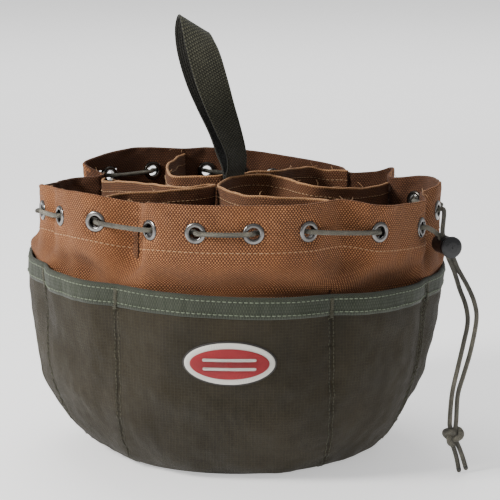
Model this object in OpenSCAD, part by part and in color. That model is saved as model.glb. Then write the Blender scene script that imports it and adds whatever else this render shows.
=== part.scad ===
// Drawstring tool bag: a soft round canvas bag with interior dividers, a skirt of outside
// pockets, a laced rim with a spring cord lock, and a webbing carry loop.
// The origin is the centre of the flat base, on the surface that the bag stands on.
// Angles go round the bag from the front (-Y), positive towards +X.

/* [Bag] */
// Outside diameter at the seams of the pocket mouths
bag_d = 300; // [290:1:310]
// Diameter of the flat base
base_d = 184; // [176:1:190]
// Height of the pocket mouths above the base at the front
skirt_h = 138; // [132:1:144]
// Thickness of the wall canvas
wall_t = 2; // [1.6:0.1:2.4]
// Thickness of the divider canvas
divider_t = 1.6; // [1.2:0.1:2]
// Thickness of the pocket fabric
skirt_t = 1.4; // [1.2:0.1:1.8]
// How far the pocket mouths bulge out between their seams
pocket_gape = 4.5; // [4:0.5:6]
// How far the canvas sinks in behind the pocket mouths
canvas_dent = 3.5; // [3:0.5:5]

/* [Trim] */
// Height of the binding along the pocket mouths
binding_h = 14; // [10:1:18]
// Width of the bar tacks that close the pockets
tack_w = 3; // [2:0.5:4]
// Length of the badge
badge_l = 62; // [50:1:70]
// Height of the badge
badge_h = 30; // [24:1:34]

/* [Grommets] */
// Depth of the grommet centres below the rim
grommet_drop = 18; // [17:1:22]
// Outside diameter of a grommet flange
flange_d = 14.4; // [13:0.2:15]
// Clear hole through a grommet
hole_d = 8; // [7.6:0.1:8.4]

/* [Cord] */
// Diameter of the drawstring
cord_d = 3; // [2.6:0.1:3.2]

/* [Handle] */
// Width of the webbing
webbing_w = 25.4; // [25:0.2:26]
// Thickness of the webbing
webbing_t = 1.8; // [1.4:0.1:2]

/* [Cord lock] */
// Outside radius of the barrel
barrel_r = 6.6; // [6.4:0.1:6.8]
// Radius of the plunger stem
stem_r = 4.6; // [4.4:0.1:4.8]
// Travel of the button
press_travel = 3; // [2:0.5:3]

/* [Hidden] */
$fn = 48;

base_t = 2.4;
fabric_gap = 0.4;
bag_r = bag_d / 2;
base_r = base_d / 2;
skirt_off = skirt_t + fabric_gap;
hem_z = 0.5;

// Meridian of the outside of the bag: radius and height as shares of bag_r and skirt_h
MERIDIAN = [[base_r / bag_r, 0], [0.68, 0.035], [0.76, 0.11], [0.835, 0.22], [0.9, 0.36],
    [0.94, 0.5], [0.967, 0.64], [0.987, 0.8], [1, 1]];

// The rim: angle of the canvas, place of the rim above it, height of the rim, and what is there:
// 1 a grommet, 2 a seam, 0 a fold
RIM = [
    [-172.5, 2, 147, 201, 1], [-157.5, -25, 146, 203, 1], [-150, -43, 138, 203, 2],
    [-142.5, -70, 130, 205, 1], [-128, -95, 115, 204, 1], [-124, -118, 92, 198, 0],
    [-120, -105, 81, 190, 2], [-112, -127, 70, 188, 1], [-98, -142, 30, 189, 1],
    [-86, -143, -8, 193, 1], [-73, -139, -44, 199, 1], [-65, -129, -62, 199, 2],
    [-57, -123, -84, 201, 1], [-41, -99, -111, 201, 1], [-33, -68, -117, 196, 2],
    [-25, -60, -136, 199, 1], [-11, -28, -148, 199, 1], [3, 11, -151, 199, 1],
    [17, 47, -143, 199, 1], [25, 71, -122, 199, 2], [36, 97, -113, 194, 1],
    [54, 130, -72, 191, 1], [62, 132, -56, 195, 2], [71, 144, -38, 198, 1],
    [84, 146, -6, 197, 1], [98, 145, 24, 195, 1], [111, 138, 48, 193, 1],
    [119, 117, 62, 190, 2], [127, 121, 88, 194, 1], [142, 107, 102, 189, 1],
    [149, 88, 104, 188, 2], [157.5, 80, 125, 191, 1], [172.5, 28, 145, 198, 1]];
RIMS = len(RIM);
GROMMETS = [for (k = RIM) if (k[4] == 1) k[0]];
SEAMS = [for (k = RIM) if (k[4] == 2) k[0]];
// Half the angle of the flat patch of canvas that a grommet sits on
patch = 3.1;

// ---- the surface of the bag ----
function lerp(a, b, t) = a + (b - a) * t;
function unit(v) = v / norm(v);
function step01(t) = let (c = max(0, min(1, t))) c * c * (3 - 2 * c);
function knot(i) = let (n = floor(i / RIMS), k = RIM[i - n * RIMS]) [k[0] + 360 * n, k[1], k[2], k[3]];
function hermite(a, b, ta, tb, t) = a * (2 * t ^ 3 - 3 * t ^ 2 + 1) + ta * (t ^ 3 - 2 * t ^ 2 + t)
    + b * (3 * t ^ 2 - 2 * t ^ 3) + tb * (t ^ 3 - t ^ 2);
function slope(i) = let (a = knot(i - 1), b = knot(i + 1)) [for (j = [1:3]) (b[j] - a[j]) / (b[0] - a[0])];
function last_below(u) = max([for (i = [-1:RIMS]) if (knot(i)[0] <= u) i]);
// Place of the rim at canvas angle u, -190 to 190
function rim(u) = let (i = last_below(u), a = knot(i), b = knot(i + 1), w = b[0] - a[0])
    hermite([a[1], a[2], a[3]], [b[1], b[2], b[3]], slope(i) * w, slope(i + 1) * w, (u - a[0]) / w);
// Height of the pocket mouths
function mouth_z(u) = skirt_h + 4 - 5 * sin(u) - 4 * cos(u);
function dir(u) = [sin(u), -cos(u)];
// A point of the outside: v from 0 at the base to 1 at the pocket mouths and 2 at the rim
function low_point(u, v) = let (s = v * (len(MERIDIAN) - 1), i = min(len(MERIDIAN) - 2, floor(s)),
    p = lerp(MERIDIAN[i], MERIDIAN[i + 1], s - i), d = dir(u) * p[0] * bag_r) [d[0], d[1], p[1] * mouth_z(u)];
function high_point(u, v) = let (t = v - 1, r = rim(u), b = dir(u) * bag_r, s = step01(t / 0.3))
    [lerp(b[0], r[0], s), lerp(b[1], r[1], s), lerp(mouth_z(u), r[2], t)];
function skin(u, v) = v <= 1 ? low_point(u, v) : high_point(u, v);
// The same point at depth d under the outside
function under(u, v, d) = let (h = 0.6, e = 0.06, v0 = max(0, v - e), v1 = min(2, v + e),
    n = unit(cross(skin(u + h, v) - skin(u - h, v), skin(u, v1) - skin(u, v0)))) skin(u, v) - n * d;
// Canvas angles of the columns of the wall: two beside each grommet, and one at each seam and fold
COLUMNS = [for (k = RIM) each (k[4] == 1 ? [k[0] - patch, k[0] + patch] : [k[0]])];
// Levels of the wall, from the base to the rim
LEVELS = [0, 0.125, 0.25, 0.375, 0.5, 0.625, 0.75, 0.875, 1, 1.08, 1.16, 1.24, 1.32, 2];
// The canvas lies behind the pocket skirt up to the pocket mouths, and ends just above the floor
function hidden_depth(v) = v > 1.3 ? 0 : skirt_off;
// 0 at the seams and 1 between them
function next_seams(u) = let (below = [for (s = SEAMS) if (s <= u) s], above = [for (s = SEAMS) if (s > u) s])
    [len(below) ? max(below) : max(SEAMS) - 360, len(above) ? min(above) : min(SEAMS) + 360];
function between(u) = let (s = next_seams(u), t = (u - s[0]) / (s[1] - s[0])) step01(sin(180 * t) * 1.3);
function dent(u, v) = canvas_dent * between(u) * step01((v - 0.45) / 0.45) * step01((1.32 - v) / 0.2);
function wall_point(u, v, d) = let (p = under(u, v, d + hidden_depth(v) + dent(u, v)))
    [p[0], p[1], v == 0 ? hem_z : p[2]];

// A closed shell from a grid of outside points and a grid of inside points, rows from the
// bottom up. It is closed round when round is true, and has two end faces when it isn't.
module shell(outer, inner, round = true) {
    rows = len(outer);
    cols = len(outer[0]);
    turns = round ? cols : cols - 1;
    half = rows * cols;
    function at(side, r, c) = side * half + r * cols + (c % cols);
    polyhedron([for (g = [outer, inner], row = g) each row], concat(
        [for (r = [0:rows - 2], c = [0:turns - 1]) each
            [[at(0, r, c), at(0, r + 1, c), at(0, r + 1, c + 1)], [at(0, r, c), at(0, r + 1, c + 1), at(0, r, c + 1)]]],
        [for (r = [0:rows - 2], c = [0:turns - 1]) each
            [[at(1, r, c), at(1, r + 1, c + 1), at(1, r + 1, c)], [at(1, r, c), at(1, r, c + 1), at(1, r + 1, c + 1)]]],
        [for (c = [0:turns - 1]) each
            [[at(0, 0, c), at(0, 0, c + 1), at(1, 0, c + 1)], [at(0, 0, c), at(1, 0, c + 1), at(1, 0, c)]]],
        [for (c = [0:turns - 1], r = [rows - 1]) each
            [[at(0, r, c), at(1, r, c), at(1, r, c + 1)], [at(0, r, c), at(1, r, c + 1), at(0, r, c + 1)]]],
        round ? [] : [for (r = [0:rows - 2]) each
            [[at(0, r, 0), at(1, r, 0), at(1, r + 1, 0)], [at(0, r, 0), at(1, r + 1, 0), at(0, r + 1, 0)]]],
        round ? [] : [for (r = [0:rows - 2], c = [cols - 1]) each
            [[at(0, r, c), at(1, r + 1, c), at(1, r, c)], [at(0, r, c), at(0, r + 1, c), at(1, r + 1, c)]]]));
}

// ---- grommets ----
// Centre of a grommet on the middle of the canvas, and the way that it faces
function patch_side(g, s) = let (p = skin(g + s * patch, 2)) [p[0], p[1]];
function grommet_normal(g) = let (t = unit(patch_side(g, 1) - patch_side(g, -1))) [t[1], -t[0]];
function grommet_centre(g) = let (m = (patch_side(g, 1) + patch_side(g, -1)) / 2 - grommet_normal(g) * wall_t / 2)
    [m[0], m[1], rim(g)[2] - grommet_drop];
module at_grommet(g) {
    n = grommet_normal(g);
    translate(grommet_centre(g)) rotate([0, 0, atan2(n[1], n[0])]) rotate([0, 90, 0]) children();
}
barrel_wall = 0.8;
flange_t = 1;

// ---- cords ----
// A round tube swept along points, with flat ends
function tangent(p, i) = unit(p[min(i + 1, len(p) - 1)] - p[max(i - 1, 0)]);
function ring_side(t) = let (s = cross(t, [0, 0, 1])) norm(s) > 0.25 ? unit(s) : unit(cross(t, [0, 1, 0]));
function turned(prev, t) = unit(prev - t * (prev * t));
function sides(p) = [for (i = 0, s = ring_side(tangent(p, 0)); i < len(p);
    i = i + 1, s = i < len(p) ? turned(s, tangent(p, i)) : s) s];
module tube(p, d, n = 8) {
    side = sides(p);
    rings = [for (i = [0:len(p) - 1]) let (t = tangent(p, i), a = side[i], b = cross(t, a))
        [for (k = [0:n - 1]) p[i] + d / 2 * (cos(360 * k / n) * a + sin(360 * k / n) * b)]];
    last = (len(p) - 1) * n;
    polyhedron([for (r = rings) each r], concat(
        [[for (k = [0:n - 1]) k]], [[for (k = [0:n - 1]) last + n - 1 - k]],
        [for (i = [0:len(p) - 2], k = [0:n - 1]) let (q = i * n, j = (k + 1) % n) each
            [[q + k, q + n + k, q + n + j], [q + k, q + n + j, q + j]]]));
}
// A smooth curve through points, with m pieces between each two
function curve(p, m) = [for (i = [0:len(p) - 2], s = [0:m - 1]) let (a = p[max(i - 1, 0)], b = p[i], c = p[i + 1],
    d = p[min(i + 2, len(p) - 1)]) hermite(b, c, (c - a) / 2, (d - b) / 2, s / m), p[len(p) - 1]];

// The cord lock: where the cords cross it, its turn about the vertical and its tilt along the cords
LOCK = [146, -69, 160];
lock_turn = -72.5;
lock_tilt = 25;
cord_run = [-sin(lock_tilt) * sin(lock_turn), sin(lock_tilt) * cos(lock_turn), -cos(lock_tilt)];
lock_across = [-cos(lock_tilt) * sin(lock_turn), cos(lock_tilt) * cos(lock_turn), sin(lock_tilt)];
cord_pitch = cord_d + 0.3;
module at_lock() {
    translate(LOCK) rotate([0, 0, lock_turn]) rotate([lock_tilt, 0, 0]) children();
}
function lock_lane(side, along) = LOCK + lock_across * side * cord_pitch / 2 + cord_run * along;
// The straight stretch that the lock slides on
LANE = [-9, -3, 3, 9, 15, 21];

// Routes of the two tails below the lock
TAIL_A = [[157, -67, 128], [161, -71, 117], [162, -76, 106], [159, -80, 92], [155, -83, 75], [151, -86, 57],
    [149.5, -88, 38], [150, -88, 31]];
TAIL_B = [[163, -68, 129], [167, -72, 119], [168, -77, 108], [164, -81, 87], [159, -84, 70], [155, -86, 56],
    [154, -88, 38], [153.5, -88, 31]];
TIP_A = [[150.5, -88, 24], [153, -88, 17], [155, -88.5, 10], [156.5, -89, 2.2]];
TIP_B = [[154, -88, 24], [157, -88, 17], [159.5, -88, 10], [161.5, -88, 3.4]];
exit_a = 54;
exit_b = 71;
function hole_point(g, out) = let (n = grommet_normal(g)) grommet_centre(g) + out * [n[0], n[1], 0];

// ---- dividers ----
// Routes of the three dividers at their top edges, between their two seams
RIGHT_STRIP = [[64, -104, 195], [48, -93, 196], [24, -92, 197], [6, -86, 197], [-7, -66, 198], [-13, -36, 198],
    [-7.5, -2, 197], [4, 21, 197], [20, 31, 196], [34, 24, 195], [52, 4, 192], [74, 8, 189], [98, 34, 186]];
LEFT_STRIP = [[-79, -106, 196], [-89, -93, 197], [-83, -78, 197], [-61, -69, 197], [-33, -59, 198],
    [-18.5, -43, 198], [-20, -31, 197], [-36, -33, 196], [-52, -22, 195], [-66, 4, 194], [-88, 36, 190],
    [-103, 60, 187]];
BACK_STRIP = [[-48, 108, 199], [-53, 66, 198], [-50, 26, 197], [-36, 14, 197], [-13.5, 11.5, 198],
    [-3, 27, 197], [15, 42, 197], [28, 49, 197], [40, 76, 195], [54, 98, 193], [68, 106, 190]];
// Levels of the dividers as shares of their height
STRIP_LEVELS = [0, 0.1, 0.22, 0.38, 0.55, 0.72, 1];
// Place of the inside of the wall at angle u and height z
function inside(u, v) = under(u, v, hidden_depth(v) + wall_t + fabric_gap);
function inside_at(u, z) = let (step = 0.05, v = max([0, for (v = [0:step:2]) if (inside(u, v)[2] <= z) v]),
    a = inside(u, v), b = inside(u, v + step), t = (z - a[2]) / max(0.01, b[2] - a[2]))
    lerp(a, b, max(0, min(1, t)));
function strip_grid(route, ua, ub, off) = let (
        z0 = base_t + 0.3,
        last = len(route) - 1,
        tops = concat([route[0][2]], [for (p = route) p[2]], [route[last][2]]),
        top_line = curve([for (z = tops) [z, 0, 0]], 2))
    [for (s = STRIP_LEVELS) let (
        a = inside_at(ua, lerp(z0, route[0][2], s)),
        b = inside_at(ub, lerp(z0, route[last][2], s)),
        m = inside_at(0, lerp(z0, skirt_h * 1.4, s)),
        room = min(1, norm([m[0], m[1]]) / (bag_r - 6)),
        line = curve(concat([[a[0], a[1], 0]], [for (p = route) [p[0] * room, p[1] * room, 0]],
            [[b[0], b[1], 0]]), 2))
        [for (i = [0:len(line) - 1]) let (t = tangent(line, i), n = [t[1], -t[0], 0], p = line[i] + n * off)
            [p[0], p[1], lerp(z0, top_line[i][0], s)]]];
module strip(route, ua, ub) {
    shell(strip_grid(route, ua, ub, divider_t / 2), strip_grid(route, ua, ub, -divider_t / 2), round = false);
}

// ---- handle ----
// The line that the webbing is folded and sewn along, between two dividers
HANDLE = [-2.5, 17.5, 203];
handle_turn = 58;
neck_r = 2.6;
// Centre line of the loop, and the direction of the webbing's width in degrees from +X and its tilt
LOOP = [[-0.4, 16.2, 205.5, 58, 0], [-0.5, 14.5, 216, 55, 0], [-4, 10, 234, 42, 0], [-9, 6, 252, 28, 0],
    [-14, 3, 270, 14, -2], [-21, 1, 291, 0, -6], [-27, 1, 304, -8, -12], [-32, 4, 312, -14, -18],
    [-38, 9, 313.5, -16, -20], [-41, 14, 306, -12, -18], [-37.5, 18, 290, -2, -10], [-30, 20, 266, 16, -2],
    [-21, 21, 246, 32, 0], [-13, 21.5, 230, 46, 0], [-6, 20, 214, 55, 0], [-4.6, 18.8, 205.5, 58, 0]];
module handle_ribbon() {
    line = curve([for (p = LOOP) [p[0], p[1], p[2]]], 2);
    turn = curve([for (p = LOOP) [p[3], p[4], 0]], 2);
    function across(i) = let (a = turn[i][0], b = turn[i][1]) [cos(a) * cos(b), sin(a) * cos(b), sin(b)];
    function edge(i, w, t) = let (x = across(i), n = unit(cross(tangent(line, i), x)))
        line[i] + x * webbing_w / 2 * w + n * webbing_t / 2 * t;
    grid = function (t) [for (w = [-1, 1]) [for (i = [0:len(line) - 1]) edge(i, w, t)]];
    shell(grid(1), grid(-1), round = false);
}

// ---- sub-parts ----
module base_panel() {
    color("#3b3a30") cylinder(r = base_r - 2.2, h = base_t);
}

module canvas_wall() {
    color("#a9683c") difference() {
        shell([for (v = LEVELS) [for (u = COLUMNS) wall_point(u, v, 0)]],
            [for (v = LEVELS) [for (u = COLUMNS) wall_point(u, v, wall_t)]]);
        for (g = GROMMETS) at_grommet(g) cylinder(r = hole_d / 2 + barrel_wall + 0.1, h = 12, center = true);
    }
}

module divider_right() {
    color("#8f5530") strip(RIGHT_STRIP, 25, 119);
}

module divider_left() {
    color("#8f5530") strip(LEFT_STRIP, -33, -120);
}

module divider_back() {
    color("#8f5530") strip(BACK_STRIP, -150, 149);
}

// How far the pocket fabric stands off at angle u: nothing at the seams, and most between them
function gape(u, v) = pocket_gape * between(u) * step01((v - 0.45) / 0.55);
POCKET_COLUMNS = [for (k = [0:len(SEAMS) - 1]) let (a = SEAMS[k], b = k + 1 < len(SEAMS) ? SEAMS[k + 1] : SEAMS[0] + 360,
    m = b - a > 40 ? 7 : 5) for (i = [0:m - 1]) let (u = lerp(a, b, i / m)) u > 180 ? u - 360 : u];
POCKET_LEVELS = [0.125, 0.25, 0.375, 0.5, 0.625, 0.75, 0.875, 1];
module pocket_layer(levels, near, far) {
    shell([for (v = levels) [for (u = POCKET_COLUMNS) under(u, v, -gape(u, v) - far)]],
        [for (v = levels) [for (u = POCKET_COLUMNS) under(u, v, -gape(u, v) - near)]]);
}
module pocket_skirt() {
    color("#4a4839") pocket_layer(POCKET_LEVELS, -skirt_t, 0);
}

binding_v = 1 - binding_h / skirt_h * 1.05;
module skirt_binding() {
    color("#6f7b6c") pocket_layer([binding_v, (1 + binding_v) / 2, 1], 0.2, 1);
}

// How far the middle of a bar tack stands off the bag, and its thickness
tack_off = 1.9;
tack_t = 0.6;
module seam_bartacks() {
    color("#8c937d") for (s = SEAMS) let (p = under(s, 0.97, -tack_off), q = under(s, 0.92, -tack_off))
        hull() for (w = [p, q], side = [-1, 1], deep = [0, tack_t])
            translate(w + side * tack_w / 2 * [cos(s), sin(s), 0] + deep * [sin(s), -cos(s), 0]) cube(0.1, center = true);
}

module grommet_eyelets() {
    color("silver") for (g = GROMMETS) at_grommet(g) rotate_extrude() polygon([
        [hole_d / 2, -wall_t / 2 - 0.2], [hole_d / 2 + barrel_wall, -wall_t / 2 - 0.2],
        [hole_d / 2 + barrel_wall, wall_t / 2 + 0.3], [flange_d / 2, wall_t / 2 + 0.3],
        [flange_d / 2 - 0.4, wall_t / 2 + 0.3 + flange_t * 0.6], [flange_d / 2 - 1.4, wall_t / 2 + 0.3 + flange_t],
        [hole_d / 2 + 0.6, wall_t / 2 + 0.3 + flange_t], [hole_d / 2, wall_t / 2 + 0.6]]);
}

module grommet_washers() {
    color("silver") for (g = GROMMETS) at_grommet(g) translate([0, 0, -wall_t / 2 - 0.7 - flange_t]) difference() {
        cylinder(r = flange_d / 2, h = flange_t);
        translate([0, 0, -1]) cylinder(r = hole_d / 2, h = flange_t + 2);
    }
}

module handle_loop() {
    color("#35362c") union() {
        handle_ribbon();
        translate(HANDLE) rotate([0, 0, handle_turn]) rotate([0, 90, 0])
            cylinder(r = neck_r, h = webbing_w, center = true);
        translate(HANDLE) rotate([0, 0, handle_turn]) translate([0, 0, 2])
            cube([webbing_w, neck_r * 2, 3], center = true);
    }
}

// Height of the sewn ends of the webbing, and the depth of their middle below the fold line
ends_h = 32;
ends_drop = 19.4;
module handle_ends() {
    color("#35362c") translate(HANDLE) rotate([0, 0, handle_turn]) translate([0, 0, -ends_drop])
        cube([webbing_w, webbing_t * 2 + 0.2, ends_h], center = true);
}

// The lacing goes out through one grommet and in through the next, and runs outside over every seam
cord_lift = wall_t / 2 + flange_t + cord_d / 2 + 1.1;
function lace_stop(g, out) = [hole_point(g, out * cord_lift * 0.1), hole_point(g, out * cord_lift)];
LACED = concat([for (g = GROMMETS) if (g >= exit_b) g], [for (g = GROMMETS) if (g <= exit_a) g + 360]);
function plain(g) = g > 180 ? g - 360 : g;
function lace_side(k) = k == 0 || k == len(LACED) - 1 ? -1 : (k % 2 == 1 ? -1 : 1);
// Middle of a stretch of lacing: straight over a seam, and off the canvas between seams
function lace_middle(k) = let (a = plain(LACED[k]), b = plain(LACED[k + 1]), out = k % 2 == 1,
        crosses = len([for (s = SEAMS, t = [s, s + 360]) if (t > LACED[k] && t < LACED[k + 1]) t]) > 0,
        folds = [for (r = RIM, t = [r[0], r[0] + 360]) if (r[4] == 0 && t > LACED[k] && t < LACED[k + 1]) r[0]],
        lift = out ? cord_lift : -cord_lift, chord = (hole_point(a, lift) + hole_point(b, lift)) / 2,
        m = len(folds) ? folds[0] : plain((LACED[k] + LACED[k + 1]) / 2), w = under(m, 1.7, -3.6))
    (crosses && !len(folds)) || !out ? [chord] : [[w[0], w[1], chord[2]]];
module drawstring_lacing() {
    n = len(LACED);
    route = [for (k = [0:n - 1]) let (g = plain(LACED[k]), first = k == 0, last = k == n - 1, out_next = k % 2 == 1)
        each concat(
            first ? [hole_point(g, 0.4), hole_point(g, -cord_lift)]
                : last ? [hole_point(g, -cord_lift), hole_point(g, 0.4)]
                : out_next ? [hole_point(g, -cord_lift), hole_point(g, cord_lift)]
                : [hole_point(g, cord_lift), hole_point(g, -cord_lift)],
            last ? [] : lace_middle(k))];
    color("#55594a") tube(route, cord_d);
}

// A tail: out of its grommet, straight through the lock, and down to the knot and its tip
module tail(g, side, below, tip) {
    route = concat([hole_point(g, 1), hole_point(g, 6)], [for (s = LANE) lock_lane(side, s)], below, tip);
    color("#55594a") tube(curve(route, 1), cord_d);
}
module cord_tail_a() {
    tail(exit_a, -1, TAIL_A, TIP_A);
}

module cord_tail_b() {
    tail(exit_b, 1, TAIL_B, TIP_B);
}

// The overhand knot of both tails: its place, radius and half height
KNOT = [152, -88, 27];
knot_r = 7.2;
knot_h = 8.5;
module tail_knot() {
    color("#4e5243") translate(KNOT) rotate_extrude() polygon(concat([[0, knot_h]],
        [for (a = [70:-20:-70]) [knot_r * cos(a), knot_h * sin(a)]], [[0, -knot_h]]));
}

// Along the lock's axis: the cords cross at 0 and the button is at the positive end
lock_back = -10;
lock_mouth = 6.4;
barrel_wall_t = 1;
slot_half = cord_d / 2 + 0.35;
stem_back = -slot_half - 1.8;
button_r = 7.6;
button_t = 3;
module along_lock(x, h, r, r_end = undef) {
    translate([x, 0, 0]) rotate([0, 90, 0]) cylinder(r1 = r, r2 = r_end == undef ? r : r_end, h = h);
}
module cord_slot(x0, x1) {
    wide = cord_pitch + cord_d + 0.8;
    translate([x0, -wide / 2, -20]) cube([x1 - x0, wide, 40]);
}

module lock_barrel() {
    color("#1d1d1f") at_lock() difference() {
        union() {
            along_lock(lock_back + 1, lock_mouth - lock_back - 1, barrel_r);
            along_lock(lock_back, 1, barrel_r - 1.2, barrel_r);
        }
        along_lock(lock_back + barrel_wall_t, 40, stem_r + 0.1);
        cord_slot(-slot_half, slot_half);
    }
}

module lock_plunger() {
    color("#232326") at_lock() union() {
        difference() {
            along_lock(stem_back, lock_mouth + press_travel + 0.4 - stem_back, stem_r);
            cord_slot(-slot_half, slot_half + press_travel);
        }
        translate([lock_mouth + press_travel + 0.4, 0, 0]) rotate([0, 90, 0]) rotate_extrude() polygon([
            [0, 0], [button_r - 0.5, 0], [button_r, 0.5], [button_r, button_t - 1.2],
            [button_r - 1, button_t - 0.3], [button_r * 0.5, button_t + 0.3], [0, button_t + 0.5]]);
    }
}

module lock_spring() {
    free = stem_back - (lock_back + barrel_wall_t);
    turns = 4;
    wire = 0.7;
    r = 3.2;
    helix = [for (i = [0:turns * 12]) let (a = 30 * i, x = lerp(wire / 2 + 0.05, free - wire / 2 - 0.05, i / (turns * 12)))
        [x, r * cos(a), r * sin(a)]];
    color("#b9bcc0") at_lock() translate([lock_back + barrel_wall_t, 0, 0]) tube(helix, wire, 6);
}

// The badge lies on the front of the skirt: an oval plate with a raised oval field on it
badge_u = -2;
badge_z = 93;
function level_at(u, z) = lookup(z / mouth_z(u), [for (i = [0:len(MERIDIAN) - 1]) [MERIDIAN[i][1], i / (len(MERIDIAN) - 1)]]);
module badge_oval(l, h, low, high) {
    tilts = [-84, -66, -48, -30, -10, 10, 30, 48, 66, 84];
    function point(phi, w, off) = let (x = l / 2 * cos(phi) * w, u = badge_u + x / bag_r * 180 / PI,
        v = level_at(u, badge_z + h / 2 * sin(phi))) under(u, v, -gape(u, v) - off);
    grid = function (off) [for (phi = tilts) [for (w = [-1:0.25:1]) point(phi, w, off)]];
    shell(grid(high), grid(low), round = false);
}
module badge_plate() {
    color("#d8d8d4") badge_oval(badge_l, badge_h, 0.3, 1.3);
}

module badge_inlay() {
    color("#b3202a") badge_oval(badge_l - 6, badge_h - 6, 1.4, 2);
}

base_panel();
canvas_wall();
divider_right();
divider_left();
divider_back();
pocket_skirt();
skirt_binding();
seam_bartacks();
grommet_eyelets();
grommet_washers();
handle_loop();
handle_ends();
drawstring_lacing();
cord_tail_a();
cord_tail_b();
tail_knot();
lock_barrel();
lock_plunger();
lock_spring();
badge_plate();
badge_inlay();
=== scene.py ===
import math

import bpy
import numpy as np
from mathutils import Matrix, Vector


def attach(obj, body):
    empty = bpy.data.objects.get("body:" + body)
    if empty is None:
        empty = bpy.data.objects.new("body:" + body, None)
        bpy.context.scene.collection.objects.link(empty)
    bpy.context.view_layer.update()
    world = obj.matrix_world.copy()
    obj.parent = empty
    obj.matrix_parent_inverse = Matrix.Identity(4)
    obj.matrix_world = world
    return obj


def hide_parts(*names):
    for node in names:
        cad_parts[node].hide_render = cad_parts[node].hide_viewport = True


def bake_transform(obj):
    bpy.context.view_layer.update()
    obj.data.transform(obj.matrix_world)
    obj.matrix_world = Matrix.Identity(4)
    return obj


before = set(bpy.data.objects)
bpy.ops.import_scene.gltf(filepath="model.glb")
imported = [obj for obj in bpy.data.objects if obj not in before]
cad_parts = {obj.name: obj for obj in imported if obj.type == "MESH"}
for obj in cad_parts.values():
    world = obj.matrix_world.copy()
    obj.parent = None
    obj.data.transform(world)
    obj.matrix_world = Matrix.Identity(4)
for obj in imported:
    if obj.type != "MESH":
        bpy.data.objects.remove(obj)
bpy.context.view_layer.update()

# Lengths below are in millimetres until a mesh is made
MM = 0.001

# ---- camera ----
camera_data = bpy.data.cameras.new("camera")
camera_data.sensor_width = 36
camera_data.lens = 146.2
camera_data.shift_x = 0.0255
camera_data.shift_y = 0.066
camera = bpy.data.objects.new("camera", camera_data)
bpy.context.collection.objects.link(camera)
camera.location = (0, -1.4746, 0.3946)
camera.rotation_euler = (Vector((0, 0, 0.12)) - camera.location).to_track_quat("-Z", "Y").to_euler()
bpy.context.scene.camera = camera

# ---- sizes, as in the CAD model ----
BAG_R, BASE_R, SKIRT_H, WALL_T, DIVIDER_T, SKIRT_T = 150, 92, 138, 2, 1.6, 1.4
SKIRT_OFF, POCKET_GAPE, CANVAS_DENT, BASE_T, CORD_D = 1.8, 4.5, 3.5, 2.4, 3
GROMMET_DROP, PATCH = 18, 3.1
# Shares of the largest radius and of the height of the pocket mouths, from the base up
MERIDIAN = np.array([[BASE_R / BAG_R, 0], [0.68, 0.035], [0.76, 0.11], [0.835, 0.22], [0.9, 0.36],
                     [0.94, 0.5], [0.967, 0.64], [0.987, 0.8], [1, 1]])
# Angle, place in plan, height, and kind of the rim points: 1 has a grommet and 2 a seam
RIM = np.array([
    [-172.5, 2, 147, 201, 1], [-157.5, -25, 146, 203, 1], [-150, -43, 138, 203, 2],
    [-142.5, -70, 130, 205, 1], [-128, -95, 115, 204, 1], [-124, -118, 92, 198, 0],
    [-120, -105, 81, 190, 2], [-112, -127, 70, 188, 1], [-98, -142, 30, 189, 1],
    [-86, -143, -8, 193, 1], [-73, -139, -44, 199, 1], [-65, -129, -62, 199, 2],
    [-57, -123, -84, 201, 1], [-41, -99, -111, 201, 1], [-33, -68, -117, 196, 2],
    [-25, -60, -136, 199, 1], [-11, -28, -148, 199, 1], [3, 11, -151, 199, 1],
    [17, 47, -143, 199, 1], [25, 71, -122, 199, 2], [36, 97, -113, 194, 1],
    [54, 130, -72, 191, 1], [62, 132, -56, 195, 2], [71, 144, -38, 198, 1],
    [84, 146, -6, 197, 1], [98, 145, 24, 195, 1], [111, 138, 48, 193, 1],
    [119, 117, 62, 190, 2], [127, 121, 88, 194, 1], [142, 107, 102, 189, 1],
    [149, 88, 104, 188, 2], [157.5, 80, 125, 191, 1], [172.5, 28, 145, 198, 1]], float)
TURN = np.array([360, 0, 0, 0, 0])
KNOTS = np.vstack([RIM[-3:] - TURN, RIM, RIM[:3] + TURN])
GROMMETS = [k[0] for k in RIM if k[4] == 1]
SEAMS = np.array([k[0] for k in RIM if k[4] == 2])
SEAMS_ROUND = np.concatenate([SEAMS[-1:] - 360, SEAMS, SEAMS[:1] + 360])


# ---- the surface of the bag ----
def lerp(a, b, t):
    return a + (b - a) * t


def step01(t):
    c = np.clip(t, 0, 1)
    return c * c * (3 - 2 * c)


def bell(x, centre, width, power=2):
    return np.exp(-((x - centre) / width) ** power)


def unit(v):
    return v / np.maximum(np.linalg.norm(v, axis=-1, keepdims=True), 1e-9)


def hermite(a, b, ta, tb, t):
    return (a * (2 * t**3 - 3 * t**2 + 1) + ta * (t**3 - 2 * t**2 + t)
            + b * (3 * t**2 - 2 * t**3) + tb * (t**3 - t**2))


def plain_angle(u):
    return (np.asarray(u, float) + 172.5) % 360 - 172.5


def slope(j):
    """How fast the rim changes with the angle at each knot."""
    return (KNOTS[j + 1, 1:4] - KNOTS[j - 1, 1:4]) / (KNOTS[j + 1, :1] - KNOTS[j - 1, :1])


def rim(u):
    """Plan place and height of the rim at an angle, in degrees from the front."""
    u = plain_angle(u)
    i = np.clip(np.searchsorted(KNOTS[:, 0], u, side="right") - 1, 1, len(KNOTS) - 3)
    w = (KNOTS[i + 1, 0] - KNOTS[i, 0])[..., None]
    t = (u - KNOTS[i, 0])[..., None] / w
    return hermite(KNOTS[i, 1:4], KNOTS[i + 1, 1:4], slope(i) * w, slope(i + 1) * w, t)


def mouth_z(u):
    return SKIRT_H + 4 - 5 * np.sin(np.radians(u)) - 4 * np.cos(np.radians(u))


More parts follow.
